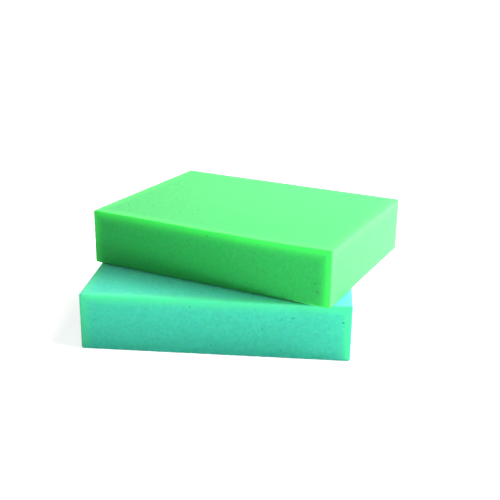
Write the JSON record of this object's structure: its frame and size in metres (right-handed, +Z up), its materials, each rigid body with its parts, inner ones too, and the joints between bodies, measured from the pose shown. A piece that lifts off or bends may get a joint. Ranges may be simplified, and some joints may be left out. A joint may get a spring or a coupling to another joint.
{
  "type": "floral foam brick",
  "caption": "Flat rectangular bricks of fine-celled flower-arranging foam, the upper laid askew on the lower and free to lift off.",
  "frame": {"origin": "centre of the lower brick's underside, on the surface that it stands on", "axes": "+X along the lower brick's length, -Y out of its long front face, +Z up"},
  "size_m": [0.279, 0.2454, 0.1],
  "materials": {
    "teal_foam": "matte, fine-celled foam",
    "green_foam": "matte, fine-celled foam"
  },
  "bodies": {
    "lower_brick": {"lower_brick": "teal_foam"},
    "upper_brick": {"upper_brick": "green_foam"}
  },
  "joints": [
    {"name": "upper_brick_lift", "type": "slide", "parent": "lower_brick", "child": "upper_brick", "axis": [0, 0, 1], "range_m": [0, 0.12]}
  ]
}
